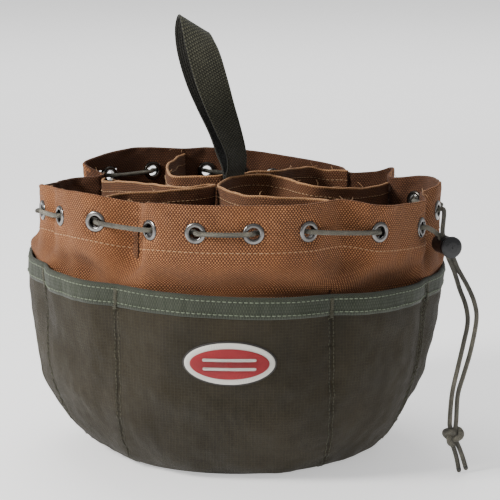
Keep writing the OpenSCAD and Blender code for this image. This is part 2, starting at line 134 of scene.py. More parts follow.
def direction(u):
    return np.stack([np.sin(np.radians(u)), -np.cos(np.radians(u))], -1)


def meridian(v):
    s = np.clip(v, 0, 1) * (len(MERIDIAN) - 1)
    i = np.minimum(np.floor(s).astype(int), len(MERIDIAN) - 2)
    before, after = np.maximum(i - 1, 0), np.minimum(i + 2, len(MERIDIAN) - 1)
    a, b = MERIDIAN[i], MERIDIAN[i + 1]
    return hermite(a, b, (b - MERIDIAN[before]) / 2, (MERIDIAN[after] - a) / 2, (s - i)[..., None])


def skin(u, v):
    """The outside of the bag: v from 0 at the base to 1 at the pocket mouths and 2 at the rim."""
    d, m, r = direction(u), meridian(v), rim(u)
    t = np.clip(v - 1, 0, 1)
    s = step01(t / 0.38)[..., None]
    xy = np.where((v <= 1)[..., None], d * m[..., :1] * BAG_R, lerp(d * BAG_R, r[..., :2], s))
    z = np.where(v <= 1, m[..., 1] * mouth_z(u), lerp(mouth_z(u), r[..., 2], t))
    return np.concatenate([xy, z[..., None]], -1)


def normal(u, v):
    h, e = 0.6, 0.04
    up = skin(u, np.minimum(v + e, 2)) - skin(u, np.maximum(v - e, 0))
    return unit(np.cross(skin(u + h, v) - skin(u - h, v), up))


def under(u, v, d):
    return skin(u, v) - normal(u, v) * np.asarray(d)[..., None]


def between(u):
    u = np.asarray(plain_angle(u))
    i = np.clip(np.searchsorted(SEAMS_ROUND, u, side="right") - 1, 0, len(SEAMS_ROUND) - 2)
    t = (u - SEAMS_ROUND[i]) / (SEAMS_ROUND[i + 1] - SEAMS_ROUND[i])
    return step01(np.sin(np.pi * t) * 1.3)


def seam_distance(u):
    return np.min(np.abs(np.asarray(plain_angle(u))[..., None] - SEAMS_ROUND), -1) * math.pi / 180 * BAG_R


def dent(u, v):
    return CANVAS_DENT * between(u) * step01((v - 0.45) / 0.45) * step01((1.32 - v) / 0.2)


def gape(u, v):
    return POCKET_GAPE * between(u) * step01((v - 0.45) / 0.55)


def ripple(p, size, seed):
    """A smooth random height, about -1 to 1, that changes over the distance size."""
    rng = np.random.default_rng(seed)
    total = np.zeros(p.shape[:-1])
    for _ in range(9):
        d = unit(rng.normal(size=3)) * rng.uniform(0.6, 1.6)
        total += np.sin(p @ d * 2 * math.pi / size + rng.uniform(0, 7))
    return total / 3.4


def patch_side(g, s):
    return rim(np.array(g + s * PATCH))[:2]


def grommet_normal(g):
    t = unit(patch_side(g, 1) - patch_side(g, -1))
    return np.array([t[1], -t[0], 0])


def grommet_centre(g):
    m = (patch_side(g, 1) + patch_side(g, -1)) / 2 - grommet_normal(g)[:2] * WALL_T / 2
    return np.array([m[0], m[1], rim(np.array(g))[2] - GROMMET_DROP])


def hole_point(g, out):
    g = float(plain_angle(g))
    return grommet_centre(g) + out * grommet_normal(g)


HOLES = [(grommet_centre(g), grommet_normal(g)) for g in GROMMETS]


# ---- mesh tools ----
def make(name, verts, faces, uvs=None):
    """A smooth mesh object from points in millimetres. uvs has a pair for each face corner, in metres."""
    me = bpy.data.meshes.new(name)
    me.from_pydata((np.asarray(verts, float) * MM).tolist(), [], [tuple(int(i) for i in f) for f in faces])
    if uvs is not None:
        layer = me.uv_layers.new(name="weave")
        layer.data.foreach_set("uv", np.asarray(uvs, np.float32).ravel())
    me.polygons.foreach_set("use_smooth", [True] * len(me.polygons))
    me.update()
    obj = bpy.data.objects.new(name, me)
    bpy.context.collection.objects.link(obj)
    return obj


def grid(name, p, uv, round_cols=False, round_rows=False, caps=False, skip=None, bridge=0):
    """A surface from rows and columns of points. uv has a row or column more where it closes round."""
    rows, cols = p.shape[:2]
    nr, nc = (rows if round_rows else rows - 1), (cols if round_cols else cols - 1)
    r, c = (a.ravel() for a in np.meshgrid(np.arange(nr), np.arange(nc), indexing="ij"))
    if skip is not None:
        keep = ~skip[r, c]
        r, c = r[keep], c[keep]
    at = lambda i, j: (i % rows) * cols + (j % cols)
    faces = np.stack([at(r, c), at(r, c + 1), at(r + 1, c + 1), at(r + 1, c)], -1)
    uvs = np.stack([uv[r, c], uv[r, c + 1], uv[r + 1, c + 1], uv[r + 1, c]], 1).reshape(-1, 2)
    if bridge:
        # The edges of a hole in the outer rows are joined to the same edges in the inner rows
        other = lambda i: rows - 1 - i
        outer_skip = [(i, j) for i, j in np.argwhere(skip) if i < bridge - 1]
        extra = []
        for i, j in outer_skip:
            for di, dj, e in ((0, -1, ((i + 1, j), (i, j))), (0, 1, ((i, j + 1), (i + 1, j + 1))),
                              (-1, 0, ((i, j), (i, j + 1))), (1, 0, ((i + 1, j + 1), (i + 1, j)))):
                if not skip[i + di, (j + dj) % cols]:
                    (a, b), (c2, d2) = e
                    extra.append([at(a, b), at(c2, d2), at(other(c2), d2), at(other(a), b)])
        faces = np.concatenate([faces, extra])
        uvs = np.concatenate([uvs, np.zeros((4 * len(extra), 2))])
    if caps:
        i = np.arange(rows // 2 - 1)
        first = np.stack([at(i, 0), at(i + 1, 0), at(rows - 2 - i, 0), at(rows - 1 - i, 0)], -1)
        end = cols - 1
        last = np.stack([at(rows - 1 - i, end), at(rows - 2 - i, end), at(i + 1, end), at(i, end)], -1)
        faces = np.concatenate([faces, first, last])
        uvs = np.concatenate([uvs, np.zeros((8 * len(i), 2))])
    return make(name, p.reshape(-1, 3), faces, uvs * MM)


def frames(path):
    """Tangents and two sides along a path, without twist."""
    t = unit(np.gradient(path, axis=0))
    side = np.cross(t[0], [0, 0, 1.0])
    side = unit(side if np.linalg.norm(side) > 0.25 else np.cross(t[0], [0, 1.0, 0]))
    out = []
    for k in t:
        side = unit(side - k * (side @ k))
        out.append(side)
    a = np.array(out)
    return t, a, np.cross(t, a)


def circle(n):
    """n even angles round a circle."""
    return 2 * math.pi * np.arange(n) / n


def lengths(path):
    """The length along a path at each of its points."""
    return np.concatenate([[0], np.cumsum(np.linalg.norm(np.diff(path, axis=0), axis=1))])


def at_lengths(values, s, x):
    return np.stack([np.interp(x, s, values[:, k]) for k in range(3)], -1)


def spaced(path, step):
    s = lengths(path)
    n = max(2, int(round(s[-1] / step)) + 1)
    return at_lengths(path, s, np.linspace(0, s[-1], n))


def smooth(points, m=8):
    """A curve through the points, with m pieces between each two."""
    p = np.asarray(points, float)
    out = []
    for i in range(len(p) - 1):
        a, b, c, d = p[max(i - 1, 0)], p[i], p[i + 1], p[min(i + 2, len(p) - 1)]
        t = np.arange(m)[:, None] / m
        out.append(hermite(b, c, (c - a) / 2, (d - b) / 2, t))
    return np.concatenate(out + [p[-1:]])


def rounded(points, times=3):
    """The points with their corners cut."""
    p = np.asarray(points, float)
    for _ in range(times):
        q = lerp(p[:-1], p[1:], 0.25)
        r = lerp(p[:-1], p[1:], 0.75)
        p = np.concatenate([p[:1], np.stack([q, r], 1).reshape(-1, 3), p[-1:]])
    return p


def tube(name, path, radius, n=12, round_ends=True):
    """A round cord along a path. radius is a number, or one for each point."""
    radius = np.broadcast_to(np.asarray(radius, float), len(path)).copy()
    t, a, b = frames(path)
    if round_ends:
        for end, way in ((0, -1), (-1, 1)):
            extra = [path[end] + way * t[end] * radius[end] * k for k in (0.5, 0.85, 0.98)]
            shrink = [radius[end] * k for k in (0.87, 0.53, 0.12)]
            if end == 0:
                path, radius = np.vstack([extra[::-1], path]), np.concatenate([shrink[::-1], radius])
                t, a, b = (np.vstack([np.repeat(x[:1], 3, 0), x]) for x in (t, a, b))
            else:
                path, radius = np.vstack([path, extra]), np.concatenate([radius, shrink])
                t, a, b = (np.vstack([x, np.repeat(x[-1:], 3, 0)]) for x in (t, a, b))
    w = circle(n)
    cos, sin = np.cos(w)[None, :, None], np.sin(w)[None, :, None]
    p = path[:, None] + radius[:, None, None] * (cos * a[:, None] + sin * b[:, None])
    s = lengths(path)
    uv = np.stack(np.meshgrid(s, np.arange(n + 1) / n * 1000, indexing="ij")[::-1], -1)
    return grid(name, p, uv, round_cols=True)


def join(name, objs):
    """One mesh object from several."""
    verts, faces, uvs, base = [], [], [], 0
    for o in objs:
        me = o.data
        co = np.empty(len(me.vertices) * 3)
        me.vertices.foreach_get("co", co)
        verts.append(co.reshape(-1, 3) / MM)
        faces += [tuple(i + base for i in f.vertices) for f in me.polygons]
        uv = np.empty(len(me.loops) * 2)
        me.uv_layers[0].data.foreach_get("uv", uv)
        uvs.append(uv.reshape(-1, 2))
        base += len(me.vertices)
        bpy.data.objects.remove(o)
        bpy.data.meshes.remove(me)
    return make(name, np.concatenate(verts), faces, np.concatenate(uvs))


def stitches(name, lines, pitch=3.4, length=2.5, thick=0.32):
    """Rows of thread stitches. Each line is a path and the outward directions along it."""
    xs = np.array([-1, -0.8, -0.3, 0.3, 0.8, 1]) * length / 2
    ws = circle(6)
    rad = thick * np.array([0.25, 0.8, 1, 1, 0.8, 0.25])
    lift = thick * np.array([-0.7, 0.1, 0.6, 0.6, 0.1, -0.7])
    verts, faces, uvs, base = [], [], [], 0
    one = np.array([(i * 6 + j, i * 6 + (j + 1) % 6, (i + 1) * 6 + (j + 1) % 6, (i + 1) * 6 + j)
                    for i in range(5) for j in range(6)])
    one_uv = np.array([[[i / 6, 0], [(i + 1) / 6, 0], [(i + 1) / 6, 1], [i / 6, 1]]
                       for _ in range(5) for i in range(6)])
    for path, out in lines:
        s = lengths(path)
        mids = np.arange(pitch / 2, s[-1], pitch)
        c = at_lengths(path, s, mids)
        nrm = unit(at_lengths(out, s, mids))
        t = unit(at_lengths(path, s, mids + 0.4) - at_lengths(path, s, mids - 0.4))
        side = unit(np.cross(t, nrm))
        p = (c[:, None, None] + t[:, None, None] * xs[None, :, None, None]
             + side[:, None, None] * (rad[:, None] * np.cos(ws))[None, :, :, None]
             + nrm[:, None, None] * (rad[:, None] * np.sin(ws) + lift[:, None])[None, :, :, None])
        verts.append(p.reshape(-1, 3))
        k = len(mids)
        faces.append((one[None] + base + 36 * np.arange(k)[:, None, None]).reshape(-1, 4))
        uvs.append(np.broadcast_to(one_uv.reshape(1, -1, 2) * 0.002, (k, 120, 2)).reshape(-1, 2))
        base += 36 * k
    return make(name, np.concatenate(verts), np.concatenate(faces), np.concatenate(uvs))


# ---- materials ----
class Nodes:
    """A short way to write a node material."""

    def __init__(self, name, **settings):
        self.mat = bpy.data.materials.new(name)
        self.mat.use_nodes = True
        self.tree = self.mat.node_tree
        self.bsdf = self.tree.nodes["Principled BSDF"]
        for key, value in settings.items():
            self.bsdf.inputs[key.replace("_", " ")].default_value = value

    def put(self, socket, value):
        if isinstance(value, bpy.types.NodeSocket):
            self.tree.links.new(value, socket)
        else:
            socket.default_value = value

    def node(self, kind, **inputs):
        n = self.tree.nodes.new(kind)
        for key, value in inputs.items():
            self.put(n.inputs[key.replace("_", " ")], value)
        return n

    def math(self, op, a, b=0.0, c=0.0):
        n = self.tree.nodes.new("ShaderNodeMath")
        n.operation = op
        for k, x in enumerate((a, b, c)):
            self.put(n.inputs[k], x)
        return n.outputs[0]

    def mul(self, a, b):
        return self.math("MULTIPLY", a, b)

    def uv(self):
        n = self.tree.nodes.new("ShaderNodeUVMap")
        s = self.tree.nodes.new("ShaderNodeSeparateXYZ")
        self.tree.links.new(n.outputs[0], s.inputs[0])
        return s.outputs[0], s.outputs[1]

    def place(self):
        return self.tree.nodes.new("ShaderNodeTexCoord").outputs["Object"]

    def noise(self, scale, detail=3.0):
        n = self.node("ShaderNodeTexNoise", Scale=scale, Detail=detail, Roughness=0.55)
        self.put(n.inputs["Vector"], self.place())
        return n.outputs["Fac"]

    def between(self, value, low, high, to_low=0.0, to_high=1.0):
        n = self.tree.nodes.new("ShaderNodeMapRange")
        for k, x in enumerate((value, low, high, to_low, to_high)):
            self.put(n.inputs[k], x)
        return n.outputs[0]

    def mix(self, fac, a, b):
        n = self.tree.nodes.new("ShaderNodeMix")
        n.data_type = "RGBA"
        self.put(n.inputs[0], fac)
        self.put(n.inputs[6], a)
        self.put(n.inputs[7], b)
        return n.outputs[2]

    def weave(self, x, y, px, py):
        """Height of a plain weave with threads px and py apart, and where the threads along y lie on top."""
        sx = self.math("SINE", self.mul(x, math.pi / px))
        sy = self.math("SINE", self.mul(y, math.pi / py))
        ax = self.math("POWER", self.math("ABSOLUTE", sx), 0.6)
        ay = self.math("POWER", self.math("ABSOLUTE", sy), 0.6)
        up = self.mul(self.math("SIGN", sx), sy)
        down = self.mul(self.math("SIGN", sy), sx)
        warp = self.mul(ax, self.math("MULTIPLY_ADD", up, 0.5, 0.5))
        weft = self.mul(ay, self.math("MULTIPLY_ADD", down, -0.5, 0.5))
        top = self.math("GREATER_THAN", warp, weft)
        return self.math("MAXIMUM", warp, weft), top, warp

    def finish(self, colour, height=None, depth=0.0003, rough=None, strength=1.0):
        self.put(self.bsdf.inputs["Base Color"], colour)
        if rough is not None:
            self.put(self.bsdf.inputs["Roughness"], rough)
        if height is not None:
            n = self.node("ShaderNodeBump", Strength=strength, Distance=depth, Height=height)
            self.put(self.bsdf.inputs["Normal"], n.outputs[0])
        return self.mat


def rgb(r, g, b):
    """A colour from sRGB shares of 255."""
    lin = [(c / 255 / 12.92 if c <= 10 else ((c / 255 + 0.055) / 1.055) ** 2.4) for c in (r, g, b)]
    return (*lin, 1.0)


def shade(colour, k):
    return (*(x * k for x in colour[:3]), 1)


def cloth(name, dark, light, worn, pitch, depth):
    """A plain-woven canvas: two thread colours, slubs, soft stains and wear."""
    m = Nodes(name, Sheen_Weight=0.04, Sheen_Roughness=0.6, Specular_IOR_Level=0.25)
    x, y = m.uv()
    wob = m.mul(m.math("SUBTRACT", m.noise(260.0, 2.0), 0.5), pitch * 0.7)
    h, top, _ = m.weave(m.math("ADD", x, wob), m.math("ADD", y, wob), pitch, pitch * 1.3)
    slub = m.noise(700.0, 2.0)
    fac = m.mul(m.math("SUBTRACT", 1.0, top), m.between(slub, 0.3, 0.75, 0.5, 1.0))
    col = m.mix(fac, dark, light)
    # Painted shade in the hollows of the weave
    col = m.mix(m.between(h, 0.2, 0.85, 0.8, 0.0), col, shade(dark, 0.3))
    col = m.mix(m.between(m.noise(14.0, 5.0), 0.42, 0.72, 0.0, 0.35), col, worn)
    col = m.mix(m.between(m.noise(30.0, 4.0), 0.35, 0.6, 0.22, 0.0), col, shade(dark, 0.6))
    height = m.math("MULTIPLY_ADD", slub, 0.35, h)
    return m.finish(col, height, depth, m.between(m.noise(60.0), 0.3, 0.7, 0.78, 0.95))


def ripstop(name, dark, light, dust, pitch, box, depth):
    """A fine pack cloth with a grid of thicker threads."""
    m = Nodes(name, Sheen_Weight=0.04, Sheen_Roughness=0.5, Specular_IOR_Level=0.2)
    x, y = m.uv()
    h, top, _ = m.weave(x, y, pitch, pitch)
    lines = []
    for c in (x, y):
        w = m.math("ABSOLUTE", m.math("SINE", m.mul(c, math.pi / box)))
        lines.append(m.between(w, 0.0, 0.22, 1.0, 0.0))
    line = m.math("MAXIMUM", lines[0], lines[1])
    slub = m.noise(500.0, 2.0)
    col = m.mix(m.mul(top, m.between(slub, 0.3, 0.8, 0.2, 0.9)), dark, light)
    col = m.mix(m.mul(line, 0.8), col, light)
    col = m.mix(m.between(m.noise(11.0, 5.0), 0.45, 0.75, 0.0, 0.4), col, dust)
    col = m.mix(m.between(m.noise(26.0, 4.0), 0.35, 0.6, 0.3, 0.0), col, shade(dark, 0.55))
    height = m.math("MULTIPLY_ADD", line, 0.8, h)
    return m.finish(col, height, depth, m.between(m.noise(50.0), 0.3, 0.7, 0.62, 0.85))


def tape(name, dark, light, across, along, depth):
    """A ribbed tape or webbing, with rows of floats along it."""
    m = Nodes(name, Sheen_Weight=0.1, Sheen_Roughness=0.5, Specular_IOR_Level=0.3)
    x, y = m.uv()
    h, _, warp = m.weave(x, y, across, along)
    slub = m.noise(600.0, 2.0)
    col = m.mix(m.mul(warp, m.between(slub, 0.3, 0.75, 0.5, 1.0)), dark, light)
    # Painted shade in the hollows of the weave
    col = m.mix(m.between(h, 0.1, 0.6, 0.6, 0.0), col, shade(dark, 0.3))
    col = m.mix(m.between(m.noise(22.0, 4.0), 0.5, 0.8, 0.0, 0.3), col, light)
    height = m.math("MULTIPLY_ADD", slub, 0.3, h)
    return m.finish(col, height, depth, m.between(m.noise(70.0), 0.3, 0.7, 0.6, 0.85))


def braid(name, dark, light, turn, carriers=8, depth=0.0002, fleck=0.5):
    """A braided cord: u is the way round and v the length along it."""
    m = Nodes(name, Sheen_Weight=0.1, Sheen_Roughness=0.5, Specular_IOR_Level=0.3)
    x, y = m.uv()
    a = m.mul(y, 2 * math.pi * carriers / 2)
    b = m.mul(x, 2 * math.pi / turn)
    p = m.math("SINE", m.math("ADD", a, b))
    q = m.math("SINE", m.math("SUBTRACT", a, b))
    h = m.math("MAXIMUM", p, q)
    top = m.math("GREATER_THAN", p, q)
    col = m.mix(m.mul(top, fleck), dark, light)
    # Painted shade in the grooves between the strands
    col = m.mix(m.between(h, -0.2, 0.7, 0.7, 0.0), col, shade(dark, 0.3))
    col = m.mix(m.between(m.noise(120.0, 3.0), 0.45, 0.75, 0.0, 0.35), col, light)
    return m.finish(col, h, depth, 0.75)


def thread(name, dark, light):
    m = Nodes(name, Sheen_Weight=0.1, Specular_IOR_Level=0.35)
    x, y = m.uv()
    twist = m.math("SINE", m.math("MULTIPLY_ADD", y, 5000.0, m.mul(x, 9000.0)))
    # Painted shade in the grooves of the twist, lighter on its crests
    col = m.mix(m.between(twist, -1.0, 1.0, 0.0, 1.0), dark, light)
    col = m.mix(m.between(m.noise(40.0, 3.0), 0.4, 0.7, 0.0, 0.5), col, dark)
    return m.finish(col, twist, 0.00006, 0.6)


def metal(name, base, dull):
    m = Nodes(name, Metallic=1.0)
    worn = m.noise(90.0, 5.0)
    fine = m.noise(1400.0, 2.0)
    col = m.mix(m.between(worn, 0.45, 0.75, 0.0, 0.7), base, dull)
    rough = m.between(m.math("MULTIPLY_ADD", fine, 0.35, worn), 0.4, 1.0, 0.12, 0.4)
    return m.finish(col, m.math("MULTIPLY_ADD", worn, 0.6, fine), 0.00004, rough, 0.5)


def plastic(name, base, scuff):
    m = Nodes(name, Specular_IOR_Level=0.5)
    grain = m.noise(1800.0, 2.0)
    worn = m.noise(140.0, 5.0)
    col = m.mix(m.between(worn, 0.55, 0.8, 0.0, 0.5), base, scuff)
    return m.finish(col, grain, 0.00005, m.between(worn, 0.3, 0.75, 0.24, 0.5))


CANVAS = cloth("canvas", rgb(80, 40, 17), rgb(198, 138, 90), rgb(144, 88, 48), 0.00105, 0.0006)
# A darker copy of the canvas for the wall's inner faces: painted shade for the inside of the bag
SHADED_INSIDE = cloth("canvas_inside_painted_shade", rgb(60, 34, 20), rgb(124, 80, 50), rgb(88, 54, 32), 0.00105, 0.0005)
DIVIDER = cloth("divider_canvas", rgb(72, 40, 22), rgb(148, 102, 68), rgb(108, 70, 43), 0.00105, 0.00045)
EDGE = cloth("canvas_edge", rgb(146, 98, 60), rgb(226, 180, 132), rgb(190, 140, 92), 0.0009, 0.0003)
SKIRT = ripstop("skirt_fabric", rgb(30, 26, 17), rgb(66, 59, 42), rgb(62, 54, 38), 0.0006, 0.0024, 0.0003)
BASE = ripstop("base_fabric", rgb(34, 32, 26), rgb(56, 53, 43), rgb(64, 60, 48), 0.0006, 0.0048, 0.0002)
BINDING = tape("binding_tape", rgb(32, 36, 27), rgb(70, 76, 60), 0.0009, 0.0013, 0.0003)
WEBBING = tape("webbing", rgb(24, 25, 18), rgb(92, 91, 72), 0.0018, 0.0012, 0.0005)
# A darker copy of the webbing for the inner side of the loop: painted shade between the two strands
WEBBING_SHADED_SIDE = tape("webbing_inside_painted_shade", rgb(14, 14, 10), rgb(48, 47, 37), 0.0018, 0.0012, 0.0005)
CORD = braid("cord", rgb(84, 82, 72), rgb(172, 166, 148), 0.0042)
TIP = plastic("melted_tip", rgb(34, 34, 28), rgb(74, 72, 60))
THREAD = thread("thread", rgb(90, 100, 82), rgb(142, 152, 128))
SEAM_THREAD = thread("seam_thread", rgb(52, 51, 37), rgb(90, 88, 66))
TAN_THREAD = thread("tan_thread", rgb(150, 112, 74), rgb(214, 178, 136))
FRAY = thread("frayed_thread", rgb(176, 128, 84), rgb(228, 190, 146))
NICKEL = metal("nickel", rgb(126, 124, 122), rgb(52, 48, 46))
# Darker nickel for the washers on the wall's inside: painted shade of the bag's inside; its patches are
# tarnish
SHADED_NICKEL = metal("nickel_painted_shade", rgb(70, 66, 62), rgb(34, 31, 29))
SPRING = metal("spring_steel", rgb(170, 172, 176), rgb(110, 112, 116))
BLACK = plastic("black_plastic", rgb(20, 20, 22), rgb(58, 58, 60))
BORDER = thread("badge_border", rgb(176, 174, 166), rgb(226, 224, 216))
FIELD = thread("badge_field", rgb(112, 12, 20), rgb(158, 28, 36))
# Dark colour for a ring round the badge's white border: a painted shadow line
BADGE_SHADOW = thread("badge_outline", rgb(26, 24, 24), rgb(52, 48, 46))


def dress(obj, material, body="root"):
    obj.data.materials.clear()
    obj.data.materials.append(material)
    if body:
        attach(obj, body)
    return obj


# ---- cords ----
LOCK = np.array([146, -69, 160.0])
CORD_RUN = np.array([0.4031, 0.1271, -0.9063])
LOCK_ACROSS = np.array([0.8644, 0.2725, 0.4226])
CORD_PITCH = CORD_D + 0.3
# The braid swells a little round its core
CORD_R = 1.68
LANE = [-9, -3, 3, 9, 15, 21]
TAIL_A = [[157, -67, 128], [161, -71, 117], [162, -76, 106], [159, -80, 92], [155, -83, 75], [151, -86, 57],
          [149.5, -88, 38], [150, -88, 31]]
TAIL_B = [[163, -68, 129], [167, -72, 119], [168, -77, 108], [164, -81, 87], [159, -84, 70], [155, -86, 56],
          [154, -88, 38], [153.5, -88, 31]]
TIP_A = [[150.5, -88, 24], [153, -88, 17], [155, -88.5, 10], [156.5, -89, 2.2]]
TIP_B = [[154, -88, 24], [157, -88, 17], [159.5, -88, 10], [161.5, -88, 3.4]]
EXIT_A, EXIT_B = 54, 71


def tail_route(g, side, below, tip):
    lane = [LOCK + LOCK_ACROSS * side * CORD_PITCH / 2 + CORD_RUN * s for s in LANE]
    return spaced(smooth([hole_point(g, 1), hole_point(g, 6), *lane, *below, *tip]), 0.6)


tails = []
for name, g, side, below, tip in (("cord_a", EXIT_A, -1, TAIL_A, TIP_A),
                                  ("cord_b", EXIT_B, 1, TAIL_B, TIP_B)):
    path = tail_route(g, side, below, tip)
    tails.append((dress(tube(name, path, CORD_R, 14), CORD), path, g))

# Overhand knot of both tails, and the melted ends
KNOT = np.array([152, -88, 27.0])
w = np.linspace(0, 2 * math.pi, 150)
loop = np.stack([(np.sin(w) + 2 * np.sin(2 * w)) * 2.0, -np.sin(3 * w) * 2.7,
                 (np.cos(w) - 2 * np.cos(2 * w)) * 1.9], -1)
knot = dress(tube("overhand_knot", KNOT + loop, 2.3, 14, round_ends=False), CORD)
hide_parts("tail_knot")
tips = []
for name, route in (("tip_a", TIP_A), ("tip_b", TIP_B)):
    end = np.array(route[-1], float)
    way = unit(end - np.array(route[-2], float))
    line = end + way * np.linspace(-2.6, 0.4, 7)[:, None]
    tips.append(dress(tube(name, line, [1.45, 1.62, 1.74, 1.78, 1.7, 1.5, 1.2], 14), TIP))

LOCK_NODES = [bpy.data.objects[node] for node in ("lock_barrel", "lock_plunger", "lock_spring")]
for (obj, path, g), node, tip in zip(tails, ("cord_tail_a", "cord_tail_b"), tips):
    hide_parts(node)

# The lacing goes out through one grommet and in through the next, and outside over every seam
CORD_LIFT = 4.6
LACE_SAG = 0.4
LACED = [g for g in GROMMETS if g >= EXIT_B] + [g + 360 for g in GROMMETS if g <= EXIT_A]
SEAM_TURNS = np.concatenate([SEAMS, SEAMS + 360])
FOLD = -124


def lace_middle(a, b, out):
    lift = CORD_LIFT if out else -CORD_LIFT
    chord = (hole_point(a, lift) + hole_point(b, lift)) / 2
    folded = a < FOLD + 360 < b
    crosses = np.any((SEAM_TURNS > a) & (SEAM_TURNS < b))
    if (crosses and not folded) or not out:
        return chord + [0, 0, -LACE_SAG]
    m = np.array(float(FOLD if folded else plain_angle((a + b) / 2)))
    w = under(m, np.array(1.7), -3.6)
    return np.array([w[0], w[1], chord[2] - LACE_SAG])


route = [hole_point(LACED[0], 0.4), hole_point(LACED[0], -CORD_LIFT)]
for k in range(len(LACED) - 1):
    out = k % 2 == 1
    route.append(lace_middle(LACED[k], LACED[k + 1], out))
    lift = CORD_LIFT if out else -CORD_LIFT
    last = k + 1 == len(LACED) - 1
    route += [hole_point(LACED[k + 1], lift), hole_point(LACED[k + 1], 0.4 if last else -lift)]
lacing_path = spaced(rounded(route, 3), 1.5)
lacing = dress(tube("drawstring", lacing_path, CORD_R, 12), CORD)
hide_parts("drawstring_lacing")

# ---- canvas wall ----
COLS = np.concatenate([np.linspace(a, b, int(round((b - a) / 0.72)), endpoint=False)
                       for a, b in zip(SEAMS, np.append(SEAMS[1:], SEAMS[0] + 360))])
HEM = 31


def wall_rise(u):
    return rim(u)[..., 2] - mouth_z(u)


def hem_step(d):
    return 0.45 * step01((HEM + 1.2 - d) / 1.4) - 0.3 * bell(d, HEM, 0.7)


# Folds pressed into the wall above the pocket mouths, and bulges where they are negative:
# canvas angle, level, half width in degrees, half height in levels, depth
FOLDS = [
    (-46, 1.1, 5.5, 0.22, 6.5), (-33, 1.5, 3.4, 0.8, 2.4), (-56, 1.16, 3.5, 0.2, 3.0),
    (-24, 1.12, 4.0, 0.25, -1.8), (20, 1.03, 9, 0.13, 4.0), (46, 1.1, 9, 0.2, 5.0),
    (25, 1.4, 2.0, 0.7, 1.4), (-97, 1.06, 26, 0.14, -8.0), (92, 1.06, 26, 0.14, -8.0),
    (-37, 1.3, 2.4, 0.3, -1.6), (62, 1.5, 2.0, 0.7, 1.2), (-65, 1.45, 2.0, 0.6, 1.6),
    (5, 1.25, 12, 0.25, -1.2), (-10, 1.02, 8, 0.1, 2.0), (33, 1.25, 3.5, 0.3, -1.4)]


def folds(u, v):
    total = np.zeros(np.shape(v))
    for fu, fv, wu, wv, depth in FOLDS:
        total += depth * np.exp(-((plain_angle(u - fu + 7.5) - 7.5) / wu) ** 2 - ((v - fv) / wv) ** 2)
    total = np.maximum(total, -4.6 - 45 * np.maximum(v - 1.0, 0))
    return total * step01((v - 0.84) / 0.12)


def wall_surface(u, v, depth):
    """A point of the wall canvas at a depth under its outside, with its hem, folds and flat grommet seats."""
    hidden = SKIRT_OFF * (1 - step01((v - 1) / 0.3)) + 2.6 * (1 - step01((v - 0.72) / 0.16)) * step01(v / 0.1)
    p = skin(u, v)
    d = (2 - v) * wall_rise(u)
    near = np.ones(np.shape(v))
    for c, n in HOLES:
        near = np.minimum(near, step01((np.linalg.norm(p - c, axis=-1) - 8.5) / 8))
    high = step01((v - 0.9) / 0.35)
    wave = high * near * (0.75 * ripple(p, 46, 3) + 0.4 * ripple(p, 19, 4)
                          + 0.55 * np.exp(-seam_distance(u) / 7) * ripple(p * [1, 1, 2.2], 16, 5))
    edge = 0.5 * step01((8 - d) / 8) * near * ripple(p, 13, 6)
    sunk = depth + hidden + dent(u, v) + near * folds(u, v) - wave - edge - hem_step(d) * (depth < 0.5)
    q = p - normal(u, v) * sunk[..., None]
    for c, n in HOLES:
        r = np.linalg.norm(q - c, axis=-1)
        seat = 1 - step01((r - 8) / 4)
        off = (q - c) @ n - (WALL_T / 2 - np.minimum(depth, WALL_T))
        q = q - n * (off * seat)[..., None]
    q[..., 2] = np.maximum(q[..., 2], 0.9)
    return q


above = np.concatenate([[0, 0.5, 1.1, 2, 3], np.arange(4.5, 29, 1.6),
                        [29.5, 30.2, 30.7, 31, 31.3, 31.8, 32.6, 34]])
low = np.concatenate([np.linspace(0, 0.7, 12), np.linspace(0.76, 1.34, 20)])
v_up = 2 - above[::-1, None] / wall_rise(COLS)[None]
v_low = low[:, None] * (v_up[:1] - 0.015) / 1.36
V = np.concatenate([v_low, v_up])
U = np.broadcast_to(COLS, V.shape)
outer = wall_surface(U, V, 0.0)
inner = wall_surface(U, V, WALL_T)
top_o, top_i = outer[-1], inner[-1]
crown = [lerp(top_o, top_i, s) + [0, 0, h] for s, h in ((0.12, 0.55), (0.5, 0.85), (0.88, 0.55))]
wall_rows = np.concatenate([outer, np.array(crown), inner[::-1]])
n_rows = len(V)
rim_line = rim(COLS)
round_length = lengths(np.vstack([rim_line, rim_line[:1]]))
up_length = lengths(wall_rows[:, 20])
up_length = np.append(up_length, up_length[-1] + WALL_T)
wall_uv = np.stack(np.meshgrid(round_length, up_length), -1)

# Holes at the grommets: their edges are drawn onto a circle and joined through the canvas
HOLE_R = 5.3
skip = np.zeros((len(wall_rows), len(COLS)), bool)
holed = wall_rows.copy()
for c, n in HOLES:
    for first, last, side in ((0, n_rows, 0), (n_rows + 3, len(wall_rows), 1)):
        rel = wall_rows[first:last] - c
        off = rel @ n
        plane = rel - off[..., None] * n
        r = np.linalg.norm(plane, axis=-1)
        if side == 0:
            for a, b in np.argwhere((r < HOLE_R) & (np.abs(off) < 6)):
                for i in (a - 1, a):
                    for j in (b - 1, b):
                        skip[i, j % len(COLS)] = True
                        skip[len(wall_rows) - 2 - i, j % len(COLS)] = True
        ring = (r >= HOLE_R) & (r < HOLE_R + 2.6) & (np.abs(off) < 6)
        reach = HOLE_R + (r[ring] - HOLE_R)[:, None] * 0.5
        holed[first:last][ring] = c + plane[ring] / r[ring][:, None] * reach + off[ring][:, None] * n
wall = grid("canvas_body", holed, wall_uv, round_cols=True, round_rows=True, skip=skip, bridge=n_rows)
dress(wall, CANVAS)
